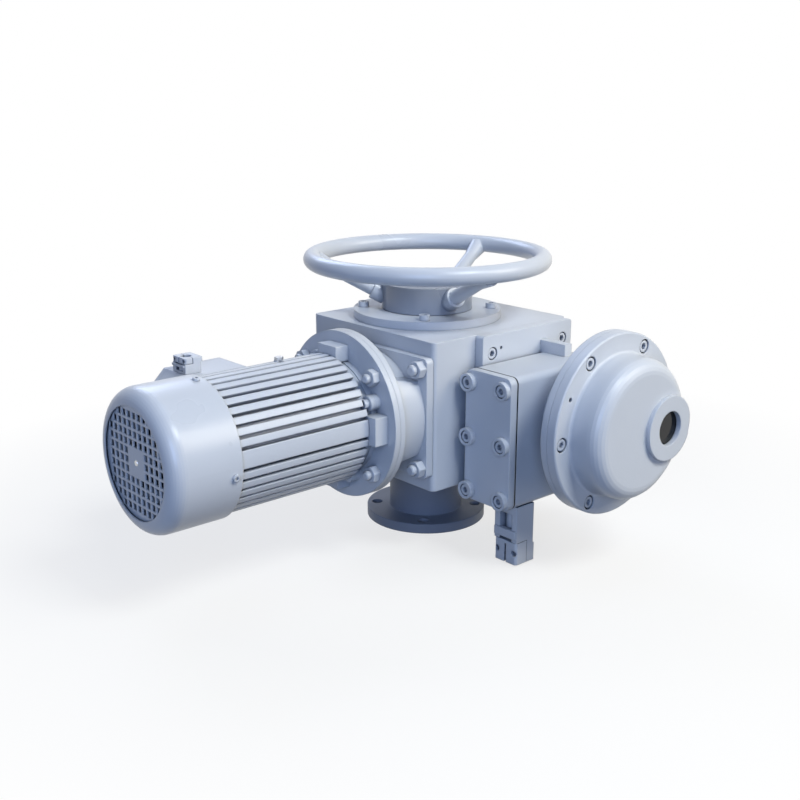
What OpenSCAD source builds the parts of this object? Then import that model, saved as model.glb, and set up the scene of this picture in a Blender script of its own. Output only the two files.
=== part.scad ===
// Electric multi-turn valve actuator: worm gearbox, flanged motor, control unit and handwheel.
// Millimetres. The origin is on the output axis, in the bottom plane of the base flange, and +Z is up.
// The motor points to -Y and the control unit to +X.

/* [Base flange] */
// Radius of the base flange
base_r = 75; // [74:1:80]
// Thickness of the base flange
base_t = 12; // [10:1:16]
// Pitch circle of the four base bolts
base_pcd = 125; // [124:1:128]
// Radius of a base bolt hole
base_hole_r = 6.75; // [5.5:0.25:7]
// Radius of the centring recess under the base
recess_r = 42.5; // [42:0.5:46]

/* [Gearbox] */
// Housing face on the far side from the control unit, along X
box_x0 = -99; // [-110:1:-96]
// Housing face that carries the control unit, along X
box_x1 = 119; // [118:0.5:120]
// Housing face that carries the motor, along Y
box_y0 = -99; // [-100:0.5:-98]
// Housing face opposite the motor, along Y
box_y1 = 121; // [120:1:126]
// Bottom of the housing
box_z0 = 84; // [83:1:86]
// Top of the housing
box_z1 = 258; // [256:1:260]
// Wall of the housing
box_wall = 12; // [11:0.5:13]
// Height of the worm and motor axes
axis_z = 171; // [170:0.5:172]
// Radius of the top bearing cover
cover_r = 90; // [88:1:94]

/* [Gears] */
// Teeth of the worm wheel, at the module that keeps its size
wheel_teeth = 40; // [36:1:44]
// Outer radius of the drive sleeve
sleeve_r = 30; // [29:0.5:31]
// Bore radius of the stem nut
stem_r = 14; // [10:0.5:15]
// Teeth of the motor pinion
pinion_teeth = 15; // [14:1:16]

/* [Motor] */
// Pitch circle of the motor flange studs
flange_pcd = 165; // [162:1:168]
// Rim of the motor flange outside the stud circle
flange_rim = 13.5; // [13:0.5:15]
// Thickness of the motor flange and of the adapter flange
flange_t = 7.5; // [6.5:0.5:9]
// Radius over the cooling fins
fin_r = 73; // [72:0.5:73.5]
// Step from the fins out to the fan cowl
cowl_step = 3.5; // [3.5:0.5:5]
// Cooling grooves around the frame
groove_count = 40; // [32:4:44]

/* [Control unit] */
// Distance of the control axis from the output axis, along Y
ctl_y = 41; // [40:0.5:42]
// Outer radius of the round control flange
ctl_r = 103; // [102:1:105]
// Height of the dome above its flange
dome_h = 38; // [37:0.5:41]
// Distance of the window from the control axis, along Y
win_dy = 39; // [36:1:40]
// Radius of the window opening
win_r = 19.5; // [18:0.5:20]

/* [Handwheel] */
// Outside diameter of the handwheel
wheel_d = 300; // [290:5:320]
// Radius of the rim tube
rim_r = 10.5; // [9:0.5:12]
// Height of the rim centre
rim_z = 329; // [326:1:334]
// Direction of the first spoke, from +X
spoke_a0 = 108; // [0:1:119]

/* [Fits] */
// Radial clearance of a running fit
fit = 0.05; // [0.03:0.01:0.08]
// Radial clearance of a bolt in its hole
bolt_gap = 0.3; // [0.2:0.05:0.4]

/* [Hidden] */
$fn = 64;

// Worm and wheel: one start, so one turn of the worm moves the wheel by one tooth
wheel_r = 48;
worm_r = 14;
worm_x = wheel_r + worm_r;
worm_lead = 2 * PI * wheel_r / wheel_teeth;
thread_e = 2;
worm_half = 34;
wheel_w = 20;
tip_r = worm_x - worm_r + thread_e - 0.6;
// Spur gears between the motor and the worm, on a centre distance of 30
spur_a = 30;
spur_teeth = 40 - pinion_teeth;
spur_mod = 2 * spur_a / (pinion_teeth + spur_teeth);
motor_x = worm_x - spur_a;
// Motor lengths, measured outward from the output axis
pad_y = 10 - box_y0;
flange_r = flange_pcd / 2 + flange_rim;
front_l = 163;
joint_l = front_l - flange_t;
adapter_l = joint_l - flange_t;
frame_l = front_l + 7;
fins_l = frame_l + 11;
rear_l = frame_l + 180;
cowl_l = rear_l - 5;
cowl_end = rear_l + 74;
cowl_r = fin_r + cowl_step;
cowl_in = cowl_r - 1.5;
shoulder_r = 17;
root_r = fin_r - 8;
body_r = fin_r - 7;
bore_r = fin_r - 15;
ear_at = fin_r - 4;
adapter_bore = 58;
core_l = frame_l + 44;
core_h = 90;
stud_angles = [42, 138, 222, 318];
pad_studs = [[76, 58], [76, -58], [-76, 58], [-76, -58]];
pad_half = [86, 70];
// Radii of the bolts and screws
m12 = 6;
m10 = 5;
m8 = 4;
m6 = 3;
m4 = 2;
thread_gap = 0.03;
// Sleeve and its bearings
bearing_ro = 45;
sleeve_z0 = 30;
bearing_w = 12;
spigot_r = 70;
neck_r = 42;
neck_z1 = box_z1 + 32;
cover_t = 10;
// Control unit along X
plate_x1 = box_x1 + 12;
chamber_x = [plate_x1 - 1, plate_x1 + 68];
chamber_y = [-48, 88];
chamber_z = [73, 226];
void_x = [chamber_x[0] + 13, chamber_x[1] - 12];
plate_half = [76, 87];
plate_screws = [[-60, 65], [60, 65], [60, -65]];
long_screw = [-60, -65];
lid_t = 10;
gasket_t = 2;
ear_r = 10.5;
ear_h = 6.5;
lid_x = [chamber_x[0] + 6.5, chamber_x[1] - ear_r];
lid_z = [84, 148, 211.5];
lid_thread = 14;
bowl_r = 80;
bowl_in = bowl_r - 8;
bowl_x = chamber_x[1];
post_r = bowl_in - 10;
ring_x = bowl_x + 46;
cover_x = ring_x + 8;
mech_x = ring_x - 1;
mech_t = 3;
dome_x = cover_x + 12 + dome_h;
win_dz = -3;
win_boss_r = 37;
ctl_screw_r = ctl_r - 11.5;
// Glands
gland_x = 179;
gland_y = -24;
gland_half = [17, 17];
gland_bore = 9;
gland_l = 71;
box_gland_half = [13, 9];
box_gland_bore = 6;
box_gland_l = 18;
// Motor terminal box: middle of its mounting face, half sizes and depth
box_l = rear_l - 64;
box_dz = 16;
box_at = [motor_x - fin_r - 5, -box_l, axis_z + box_dz];
box_half = [37, 50];
earth_l = front_l + 76;
box_depth = 50;
box_cut = 27;
box_gland_at = [box_at[0] - 24, box_at[1] - 13, box_at[2] + box_half[0]];
// Colours
paint = "#B4BCCB";
steel = "#B9BCC0";
bronze = "#B08A4A";
copper = "#B4692F";
iron = "#6F7277";
dark = "#2A2C30";

// Frames whose local +Z points away from the gearbox
module motor_frame() { translate([motor_x, 0, axis_z]) rotate([90, 0, 0]) children(); }
module worm_frame() { translate([worm_x, 0, axis_z]) rotate([90, 0, 0]) children(); }
module control_frame() { translate([0, ctl_y, axis_z]) rotate([90, 0, 90]) children(); }
module motor_box_frame() { translate(box_at) rotate([0, -90, 0]) children(); }
module gland_frame() {
  translate([gland_x, gland_y, chamber_z[0]]) rotate([180, 0, 0]) mirror([0, 1, 0]) children();
}

// Copies in a ring about the local Z axis
module ring(n, r, a0 = 0) {
  for (i = [0 : n - 1]) rotate([0, 0, a0 + i * 360 / n]) translate([r, 0, 0]) children();
}

// A cylinder between two heights
module drum(r, z0, z1) { translate([0, 0, z0]) cylinder(r = r, h = z1 - z0); }

// A tube between two heights
module tube(ro, ri, z0, z1) {
  difference() {
    drum(ro, z0, z1);
    drum(ri, z0 - 1, z1 + 1);
  }
}

// A block between two corners
module block(p, q) { translate(p) cube(q - p); }

// A rectangle with round corners, made of squares and circles so that it stays exact
module round_rect(x0, y0, x1, y1, r) {
  translate([x0 + r, y0]) square([x1 - x0 - 2 * r, y1 - y0]);
  translate([x0, y0 + r]) square([x1 - x0, y1 - y0 - 2 * r]);
  for (x = [x0 + r, x1 - r], y = [y0 + r, y1 - r]) translate([x, y]) circle(r = r);
}

// A socket head cap screw: its head sits on height 0 and its shank goes down
module cap_screw(r, head_r, head_h, length) {
  difference() {
    union() {
      drum(head_r, 0, head_h);
      drum(r, -length, 0.5);
    }
    translate([0, 0, head_h * 0.45]) cylinder(r = r * 0.95, h = head_h, $fn = 6);
  }
}

// A hexagon nut on height 0
module hex_nut(r, across, h) {
  difference() {
    intersection() {
      cylinder(r = across / 2 / cos(30), h = h, $fn = 6);
      cylinder(r1 = across * 0.66, r2 = across * 0.53, h = h);
    }
    drum(r, -1, h + 1);
  }
}

// A stud with a rounded free end
module stud(r, z0, z1) {
  drum(r, z0, z1 - 2);
  translate([0, 0, z1 - 2]) cylinder(r1 = r, r2 = r - 1.5, h = 2);
}

// A ball bearing as one ring, with the groove of its seal on both faces
module bearing(ro, ri, z0, z1) {
  mid = (ro + ri) / 2;
  lip = (ro - ri) / 5;
  difference() {
    tube(ro, ri, z0, z1);
    tube(mid + lip, mid - lip, z0 - 1, z0 + 0.8);
    tube(mid + lip, mid - lip, z1 - 0.8, z1 + 1);
  }
}

// Involute angle at a pressure angle, in degrees
function involute(a) = tan(a) * 180 / PI - a;

// Half the angle of a spur tooth at radius q, less the play
function tooth_half(n, rp, q, play) =
  90 / n + involute(20) - involute(acos(min(1, rp * cos(20) / q))) - play / q * 180 / PI;

// A spur gear with a tooth on the local +X axis, between two heights
module spur_gear(n, m, bore, z0, z1, play = 0.12) {
  rp = n * m / 2;
  root = rp - 1.25 * m;
  tip = rp + 0.95 * m;
  low = max(root + 0.1, rp * cos(20));
  radii = [root, for (k = [0 : 4]) low + (tip - low) * k / 4];
  flank = [for (q = radii) [q, tooth_half(n, rp, max(q, low), play)]];
  tooth = concat([for (p = flank) [p[0], -p[1]]], [for (k = [len(flank) - 1 : -1 : 0]) flank[k]]);
  points = [for (i = [0 : n - 1], p = tooth) p[0] * [cos(p[1] + i * 360 / n), sin(p[1] + i * 360 / n)]];
  translate([0, 0, z0]) linear_extrude(z1 - z0) difference() {
    polygon(points);
    circle(r = bore);
  }
}

// Gland pointing to +Z: thread, square collar, two arms with a bar between them, and half a clamp
module gland_body(half, bore, length, screw_r) {
  w = half[0];
  d = half[1];
  arm = w * 0.45;
  difference() {
    union() {
      drum(bore + 3, -9, 1);
      block([-w, -d, 0], [w, 11, length * 0.15]);
      drum(bore + 2, length * 0.1, length);
      for (x = [-w, w - arm]) block([x, -d, length * 0.1], [x + arm, 11, length * 0.75]);
      block([-w + 1, -d - 2, length * 0.42], [w - 1, -d + 4, length * 0.56]);
      block([-w, 1.2, length * 0.7], [w, 13, length]);
    }
    block([-w - 1, -d - 3, length * 0.62], [w + 1, 1.2, length + 1]);
    drum(bore, -10, length + 1);
    for (x = [-w * 0.74, w * 0.74]) translate([x, 0, length * 0.81]) rotate([90, 0, 0])
      cylinder(r = screw_r + thread_gap, h = 60, center = true);
  }
}

// The loose half of the clamp with a slot down its front
module gland_clamp(half, bore, length, screw_r) {
  w = half[0];
  d = half[1];
  difference() {
    intersection() {
      block([-w, -d, length * 0.62 + 0.4], [w, 0.6, length]);
      translate([0, 0, length * 0.5]) cylinder(r = norm([w, d]) * 0.93, h = length);
    }
    drum(bore, 0, length + 1);
    block([-1.4, -d - 1, length * 0.68], [1.4, -bore - 2, length + 1]);
    for (x = [-w * 0.74, w * 0.74]) translate([x, 0, length * 0.81]) rotate([90, 0, 0]) {
      cylinder(r = screw_r + bolt_gap, h = 60, center = true);
      drum(screw_r * 1.8, d * 0.5, 30);
    }
  }
}

// The two screws of a gland clamp, sunk in its front
module gland_clamp_screws(half, length, screw_r) {
  for (x = [-half[0] * 0.74, half[0] * 0.74]) translate([x, -half[1] * 0.5, length * 0.81]) rotate([90, 0, 0])
    cap_screw(screw_r, screw_r * 1.6, screw_r * 1.6, half[1] * 0.5 + 9);
}

// Cast box with the bores of the covers and the seats of the worm bearings
module gearbox_housing() {
  t = box_wall;
  color(paint) difference() {
    union() {
      difference() {
        translate([0, 0, box_z0]) linear_extrude(box_z1 - box_z0)
          round_rect(box_x0, box_y0, box_x1, box_y1, 6);
        translate([0, 0, box_z0 + t]) linear_extrude(box_z1 - box_z0 - 2 * t)
          round_rect(box_x0 + t, box_y0 + t, box_x1 - t, box_y1 - t, 8);
      }
      worm_frame() drum(25, 79, -box_y0 - t + 1);
      worm_frame() drum(25, -box_y1 + t - 1, -101);
    }
    drum(spigot_r + fit, box_z1 - t - 1, box_z1 + 1);
    drum(58 + fit, box_z0 - 1, box_z0 + t + 1);
    worm_frame() drum(17.5, 86, -box_y0 + 1);
    worm_frame() drum(13, 70, 90);
    worm_frame() drum(17.5, -box_y1 - 1, -107);
    worm_frame() drum(13, -110, -95);
    control_frame() drum(30, box_x1 - t - 1, box_x1 + 1);
    motor_frame() for (p = pad_studs) translate([p[0], p[1], 0]) drum(m12 + thread_gap, 86, -box_y0 + 1);
    control_frame() for (p = concat(plate_screws, [long_screw])) translate([p[0], p[1], 0])
      drum(m8 + thread_gap, box_x1 - 16, box_x1 + 1);
    ring(4, 78, 45) drum(m8 + thread_gap, box_z1 - 16, box_z1 + 1);
    ring(6, 65, 0) drum(m8 + thread_gap, box_z0 - 1, box_z0 + 9);
    worm_frame() ring(4, 25, 45) drum(m6 + thread_gap, -box_y1 - 1, -box_y1 + 14);
  }
}

// Base: the flange for the valve, a neck, and the flange under the housing
module base_flange() {
  color(paint) difference() {
    union() {
      drum(base_r, 0, base_t);
      drum(46, base_t - 1, box_z0 - 11);
      drum(73, box_z0 - 12, box_z0);
      drum(58, box_z0 - 1, box_z0 + 8);
    }
    drum(recess_r, -1, 4);
    drum(36, 0, box_z0);
    drum(bearing_ro, box_z0 - 4, box_z0 + 9);
    ring(4, base_pcd / 2, 45) drum(base_hole_r, -1, base_t + 1);
    ring(6, 65, 0) drum(m8 + bolt_gap, box_z0 - 13, box_z0 + 1);
  }
}

module base_screws() {
  color(steel) ring(6, 65, 0) translate([0, 0, box_z0 - 12]) mirror([0, 0, 1]) cap_screw(m8, 6.5, 8, 20);
}

// Cover over the sleeve: a flange, a seat for the upper bearing and a neck for the handwheel
module top_bearing_cover() {
  color(paint) difference() {
    union() {
      drum(cover_r, box_z1, box_z1 + cover_t);
      drum(spigot_r, box_z1 - 12, box_z1 + 1);
      drum(neck_r, box_z1 + cover_t - 1, neck_z1);
    }
    drum(bearing_ro, box_z1 - 13, box_z1);
    drum(34, box_z1 - 1, neck_z1 + 1);
    ring(4, 78, 45) drum(m8 + bolt_gap, box_z1 - 1, box_z1 + cover_t + 1);
  }
}

module top_cover_screws() {
  color(paint) ring(4, 78, 45) translate([0, 0, box_z1 + cover_t]) cap_screw(m8, 6.5, 6.5, 22);
}

// Cap over the far bearing of the worm
module worm_end_cap() {
  color(paint) worm_frame() difference() {
    union() {
      drum(34, -box_y1 - 8, -box_y1);
      drum(17.4, -box_y1 - 1, -box_y1 + 3);
    }
    ring(4, 25, 45) drum(m6 + bolt_gap, -box_y1 - 9, -box_y1 + 1);
  }
}

module worm_end_screws() {
  color(paint) worm_frame() ring(4, 25, 45) translate([0, 0, -box_y1 - 8]) mirror([0, 0, 1])
    cap_screw(m6, 5, 6, 18);
}

module sleeve_bearings() {
  color(steel) {
    bearing(bearing_ro - 0.02, sleeve_r + fit, box_z0 - 4, box_z0 + 8);
    bearing(bearing_ro - 0.02, sleeve_r + fit, box_z1 - bearing_w, box_z1);
  }
}

module worm_bearings() {
  color(steel) worm_frame() {
    bearing(17.48, 7.5 + fit, 86, 97);
    bearing(17.48, 7.5 + fit, -118, -107);
  }
}

// Pad on the housing, neck and round flange, with the spur gears inside; the neck is flat above
// and below at the pad, to leave room for the nuts, and widens towards the flange
module motor_adapter() {
  top = flange_pcd / 2 * sin(stud_angles[0]) - m10 - 0.7;
  side = [[-43, pad_y - 1], [43, pad_y - 1], [top, adapter_l + 1], [-top, adapter_l + 1]];
  color(paint) motor_frame() difference() {
    union() {
      translate([0, 0, -box_y0]) linear_extrude(10)
        round_rect(-pad_half[0], -pad_half[1], pad_half[0], pad_half[1], 6);
      drum(adapter_bore + 8, pad_y - 1, adapter_l + 1);
      intersection() {
        drum(flange_r - 12, pad_y - 1, adapter_l + 1);
        rotate([90, 0, 90]) linear_extrude(2 * flange_r, center = true) polygon(side);
      }
      drum(flange_r, adapter_l, joint_l);
    }
    drum(adapter_bore, -box_y0 - 1, joint_l + 1);
    for (p = pad_studs) translate([p[0], p[1], 0]) drum(m12 + bolt_gap, -box_y0 - 1, pad_y + 1);
    for (a = stud_angles) rotate([0, 0, a]) translate([flange_pcd / 2, 0, 0])
      drum(m10 + thread_gap, adapter_l - 1, joint_l + 1);
  }
}

module adapter_studs() {
  color(paint) motor_frame() for (p = pad_studs) translate([p[0], p[1], 0]) stud(m12, 87, pad_y + 16);
}

module adapter_nuts() {
  color(paint) motor_frame() for (p = pad_studs) translate([p[0], p[1], pad_y]) rotate([0, 0, 10])
    hex_nut(m12 + thread_gap, 18, 10);
}

// Drive-end shield: flange, four lugs, screw ears and the bearing seat
module motor_front_shield() {
  color(paint) motor_frame() difference() {
    union() {
      drum(flange_r, joint_l, front_l);
      drum(adapter_bore - 0.1, joint_l - 4, joint_l + 1);
      drum(body_r, front_l - 1, frame_l);
      drum(32, front_l - 1, front_l + 17);
      for (a = [0 : 90 : 270]) rotate([0, 0, a]) block([root_r + 0.4, -16, front_l - 1], [fin_r + 10, 16, fins_l - 0.3]);
      ring(4, ear_at, 24) drum(8.5, front_l - 1, frame_l);
    }
    drum(14, joint_l - 5, front_l + 18);
    drum(23.5, front_l + 2, front_l + 18);
    tube(bore_r - 2, 33, front_l + 0.5, frame_l + 1);
    for (a = stud_angles) rotate([0, 0, a]) translate([flange_pcd / 2, 0, 0])
      drum(m10 + bolt_gap, joint_l - 1, front_l + 1);
    ring(4, ear_at, 24) drum(m6 + thread_gap, front_l - 6, frame_l + 1);
  }
}

module flange_studs() {
  color(paint) motor_frame() for (a = stud_angles) rotate([0, 0, a]) translate([flange_pcd / 2, 0, 0])
    stud(m10, adapter_l, front_l + 15);
}

module flange_nuts() {
  color(paint) motor_frame() for (a = stud_angles) rotate([0, 0, a]) translate([flange_pcd / 2, 0, front_l])
    hex_nut(m10 + thread_gap, 17, 9);
}

// Identical screws that hold both shields on the frame
module shield_screws() {
  color(paint) motor_frame() {
    ring(4, ear_at, 24) translate([0, 0, frame_l + 6]) cap_screw(m6, 5.2, 6, 18);
    ring(4, bore_r + 3.5, 45) translate([0, 0, rear_l + 8]) cap_screw(m6, 5.2, 6, 18);
  }
}

// Frame with its cooling grooves; one land stays plain, and a pad carries the terminal box
module stator_frame() {
  color(paint) motor_frame() difference() {
    union() {
      drum(root_r, frame_l, fins_l + 1);
      drum(fin_r, fins_l, rear_l);
      ring(4, ear_at, 24) drum(8.5, frame_l, frame_l + 6);
      block([-fin_r - 5, box_dz - box_half[0] + 1, box_l - box_half[1]],
        [-bore_r - 2, box_dz + box_half[0] - 1, box_l + box_half[1]]);
      translate([-9, 0, earth_l]) rotate([-90, 0, 0]) drum(5.5, body_r, fin_r + 1);
    }
    drum(bore_r + 0.02, frame_l - 1, rear_l + 1);
    for (i = [1 : groove_count - 1]) {
      a = 3 + i * 360 / groove_count;
      if (abs(a - 192) > 40) rotate([0, 0, a]) block([root_r, -1.9, fins_l - 1], [fin_r + 3, 1.9, rear_l + 1]);
    }
    ring(4, ear_at, 24) drum(m6 + bolt_gap, frame_l - 1, frame_l + 7);
    ring(4, ear_at, 24) drum(6, frame_l + 6, fins_l + 3);
    ring(4, bore_r + 3.5, 45) drum(m6 + thread_gap, rear_l - 12, rear_l + 1);
    translate([-9, 0, earth_l]) rotate([-90, 0, 0]) drum(m6 + thread_gap, root_r - 3, fin_r + 2);
    translate([3 - fin_r, box_dz, box_l]) rotate([0, 90, 0]) cylinder(r = 8, h = 20, center = true);
  }
}

module earth_screw() {
  color(steel) motor_frame() translate([-9, 0, earth_l]) rotate([-90, 0, 0]) {
    drum(m6, root_r - 2, fin_r + 1.5);
    translate([0, 0, fin_r + 1]) cylinder(r = 5, h = 3.5, $fn = 6);
  }
}

// Laminated core with 24 slots
module stator_core() {
  color(iron) motor_frame() difference() {
    tube(bore_r, 38, core_l, core_l + core_h);
    ring(24, 42, 0) block([0, -2.2, core_l - 1], [bore_r - 48, 2.2, core_l + core_h + 1]);
  }
}

// Bars in the slots, joined by the end turns
module stator_winding() {
  color(copper) motor_frame() {
    ring(24, 42.3, 0) block([0, -1.9, core_l - 8], [bore_r - 48.6, 1.9, core_l + core_h + 8]);
    tube(bore_r - 4, 41, core_l - 16, core_l - 4);
    tube(bore_r - 4, 41, core_l + core_h + 4, core_l + core_h + 16);
  }
}

module motor_bearings() {
  color(steel) motor_frame() {
    bearing(23.48, 10 + fit, front_l + 2, front_l + 16);
    bearing(23.48, 10 + fit, rear_l + 2, rear_l + 16);
  }
}

// Fan-end shield, with four tabs for the cowl
module motor_rear_shield() {
  color(paint) motor_frame() difference() {
    union() {
      drum(body_r, rear_l, rear_l + 8);
      drum(31, rear_l - 6, rear_l + 20);
      intersection() {
        for (a = [-8 : 90 : 262]) rotate([0, 0, a]) block([bore_r + 2, -8, rear_l], [cowl_r, 8, rear_l + 8]);
        drum(cowl_in - 0.1, rear_l, rear_l + 8);
      }
    }
    drum(13.5, rear_l - 7, rear_l + 21);
    drum(23.5, rear_l - 7, rear_l + 16);
    ring(4, bore_r + 3.5, 45) drum(m6 + bolt_gap, rear_l - 1, rear_l + 9);
    for (a = [-8 : 90 : 262]) rotate([0, 0, a]) translate([0, 0, rear_l + 4]) rotate([0, 90, 0])
      drum(m4 + thread_gap, cowl_r - 12.5, cowl_r + 3);
  }
}

// Pressed cowl: a straight skirt and a round shoulder that ends in a lip round the grille
module fan_cowl() {
  t = cowl_r - cowl_in;
  arc = [for (a = [0 : 10 : 90]) [cos(a), sin(a)]];
  c = [cowl_r - shoulder_r, cowl_end - shoulder_r];
  lip = c[0] - 0.5;
  profile = concat([[cowl_r, cowl_l]], [for (p = arc) c + shoulder_r * p], [[lip, cowl_end], [lip, cowl_end - t]],
    [for (k = [9 : -1 : 0]) c + (shoulder_r - t) * arc[k]], [[cowl_in, cowl_l]]);
  color(paint) motor_frame() difference() {
    rotate_extrude() polygon(profile);
    for (a = [-8 : 90 : 262]) rotate([0, 0, a]) translate([0, 0, rear_l + 4]) rotate([0, 90, 0])
      drum(m4 + bolt_gap, cowl_in - 4, cowl_r + 3);
  }
}

// Grille pressed in behind the lip: square holes in rows and columns, and a plain middle
module fan_grille() {
  pitch = 9.8;
  hole = 6.9;
  back = 3.5;
  top = cowl_end - back;
  r = cowl_r - shoulder_r + sqrt(pow(shoulder_r - 1.5, 2) - pow(shoulder_r - back, 2)) - 0.1;
  color(paint) motor_frame() difference() {
    drum(r, top - 2, top);
    for (i = [-6 : 1 : 6], j = [-6 : 1 : 6])
      if (norm([i, j]) * pitch < cowl_r - shoulder_r - 1 && max(abs(i), abs(j)) > 1)
        translate([i * pitch, j * pitch, top - 1]) cube([hole, hole, 4], center = true);
    drum(2, top - 3, top + 1);
  }
}

module cowl_screws() {
  color(paint) motor_frame() for (a = [-8 : 90 : 262]) rotate([0, 0, a]) translate([0, 0, rear_l + 4])
    rotate([0, 90, 0]) translate([0, 0, cowl_r]) cap_screw(m4, 3.8, 2.6, 10);
}

// Outline of the terminal box with one corner cut off, drawn smaller by an inset
module box_outline(inset = 0) {
  x = box_half[0] - inset;
  y = box_half[1] - inset;
  cut = box_cut - 0.6 * inset;
  polygon([[-x, -y], [x - cut, -y], [x, -y + cut], [x, y], [-x, y]]);
}

// Places of the four screws of the terminal box
module box_corners() {
  x = box_half[0] - 7;
  y = box_half[1] - 7;
  for (p = [[-x, -y], [x - box_cut + 3, -y], [x, y], [-x, y]]) translate(p) children();
}

// Shallow box on the side of the frame, with the wires of the winding inside
module motor_terminal_box() {
  color(paint) difference() {
    motor_box_frame() difference() {
      linear_extrude(box_depth) box_outline();
      translate([0, 0, 5]) linear_extrude(box_depth) difference() {
        box_outline(4);
        box_corners() circle(r = 7);
      }
      drum(8, -1, 6);
      box_corners() drum(m4 + thread_gap, box_depth - 16, box_depth + 1);
    }
    translate(box_gland_at) drum(box_gland_bore + 3 + thread_gap, -10, 1);
  }
}

module motor_box_lid() {
  color(paint) motor_box_frame() difference() {
    translate([0, 0, box_depth]) linear_extrude(6) box_outline();
    box_corners() drum(m4 + bolt_gap, box_depth - 1, box_depth + 7);
  }
}

module motor_box_screws() {
  color(paint) motor_box_frame() box_corners() translate([0, 0, box_depth + 6]) cap_screw(m4, 3.8, 4, 18);
}

module motor_gland() {
  color(paint) translate(box_gland_at) gland_body(box_gland_half, box_gland_bore, box_gland_l, 1.25);
}

module motor_gland_saddle() {
  color(paint) translate(box_gland_at) gland_clamp(box_gland_half, box_gland_bore, box_gland_l, 1.25);
}

// Plate on the gearbox, chamber for the terminals, and round bowl for the mechanism
module control_housing() {
  floor_x = ring_x - 11;
  color(paint) difference() {
    union() {
      control_frame() {
        translate([0, 0, box_x1]) linear_extrude(12)
          round_rect(-plate_half[0], -plate_half[1], plate_half[0], plate_half[1], 4);
        drum(bowl_r * 0.6, bowl_x - 1, ring_x - 10);
        translate([0, 0, ring_x - 35]) cylinder(r1 = bowl_r * 0.6, r2 = bowl_r, h = 18);
        drum(bowl_r, ring_x - 17, ring_x + 1);
        drum(ctl_r, ring_x, cover_x);
      }
      translate([0, chamber_y[1], 0]) rotate([90, 0, 0]) linear_extrude(chamber_y[1] - chamber_y[0])
        round_rect(chamber_x[0], chamber_z[0], chamber_x[1], chamber_z[1], 8);
      block([plate_x1 - 1, 62, chamber_z[1] - 9], [bowl_x - 30, 74, chamber_z[1] + 14]);
    }
    block([void_x[0], chamber_y[0] + lid_thread + 1, 82], [void_x[1], chamber_y[1] - 10, 217]);
    translate([0, chamber_y[0] + lid_thread + 2, 0]) rotate([90, 0, 0]) linear_extrude(lid_thread + 3) difference() {
      translate([void_x[0], 82]) square([void_x[1] - void_x[0], 135]);
      for (x = lid_x, z = lid_z) translate([x, z]) circle(r = m8 + 5);
    }
    control_frame() {
      drum(bowl_in, floor_x, cover_x + 1);
      drum(20, box_x1 - 1, void_x[0] + 1);
      translate([-16, -16, 0]) drum(14, void_x[1] - 1, floor_x + 1);
      for (p = plate_screws) translate([p[0], p[1], 0]) {
        drum(m8 + bolt_gap, box_x1 - 1, plate_x1 + 1);
        drum(7.6, plate_x1 - 9, plate_x1 + 1);
      }
      translate([long_screw[0], long_screw[1], 0]) drum(m8 + bolt_gap, box_x1 - 1, void_x[0] + 1);
      translate([-46, 70, 0]) drum(1.8, plate_x1 - 4, plate_x1 + 1);
      ring(6, ctl_screw_r, 3) drum(m8 + thread_gap, ring_x - 1, cover_x + 1);
    }
    for (x = lid_x, z = lid_z) translate([x, chamber_y[0], z]) rotate([90, 0, 0])
      drum(m8 + thread_gap, -lid_thread, 1);
    translate([gland_x, gland_y, chamber_z[0]]) drum(gland_bore + 3 + thread_gap, -1, 10);
  }
  color(paint) control_frame() ring(3, post_r, 30) drum(6, floor_x - 1, mech_x);
}

module control_screws() {
  color(paint) control_frame() {
    for (p = plate_screws) translate([p[0], p[1], plate_x1 - 9]) cap_screw(m8, 6.5, 8, 17);
    translate([long_screw[0], long_screw[1], void_x[0]]) cap_screw(m8, 6.5, 8, void_x[0] - box_x1 + 14);
  }
}

// Flat seal between the chamber and its cover
module terminal_gasket() {
  color(dark) translate([0, chamber_y[0], 0]) rotate([90, 0, 0]) linear_extrude(gasket_t) difference() {
    round_rect(chamber_x[0], chamber_z[0], chamber_x[1], chamber_z[1], 8);
    difference() {
      translate([void_x[0], 82]) square([void_x[1] - void_x[0], 135]);
      for (x = lid_x, z = lid_z) translate([x, z]) circle(r = m8 + 5);
    }
    for (x = lid_x, z = lid_z) translate([x, z]) circle(r = m8 + bolt_gap);
  }
}

// Cover plate with a raised round ear for each screw
module terminal_cover() {
  color(paint) translate([0, chamber_y[0] - gasket_t, 0]) rotate([90, 0, 0]) difference() {
    union() {
      linear_extrude(lid_t) round_rect(chamber_x[0], chamber_z[0], chamber_x[1], chamber_z[1], 8);
      for (x = lid_x, z = lid_z) translate([x, z, 0]) drum(ear_r, 0, lid_t + ear_h);
    }
    for (x = lid_x, z = lid_z) translate([x, z, 0]) {
      drum(m8 + bolt_gap, -1, lid_t + ear_h + 1);
      drum(7.4, lid_t - 3, lid_t + ear_h + 1);
    }
  }
}

module terminal_screws() {
  color(paint) for (x = lid_x, z = lid_z) translate([x, chamber_y[0] - gasket_t - lid_t + 3, z])
    rotate([90, 0, 0]) cap_screw(m8, 6.5, 8, lid_t - 3 + gasket_t + lid_thread - 2);
}

// Row of terminals on the rear wall of the chamber
module terminal_strip() {
  x = void_x[0];
  color(dark) difference() {
    union() {
      block([x, -20, 116], [x + 12, 60, 146]);
      block([x + 11, -20, 124], [x + 22, 60, 138]);
    }
    for (y = [-14 : 10 : 56]) {
      block([x + 16, y - 3.6, 120], [x + 23, y + 3.6, 142]);
      for (z = [120, 142]) translate([x + 6, y, z]) rotate([0, 90, 0]) drum(2.6, 0, 7);
    }
  }
}

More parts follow.
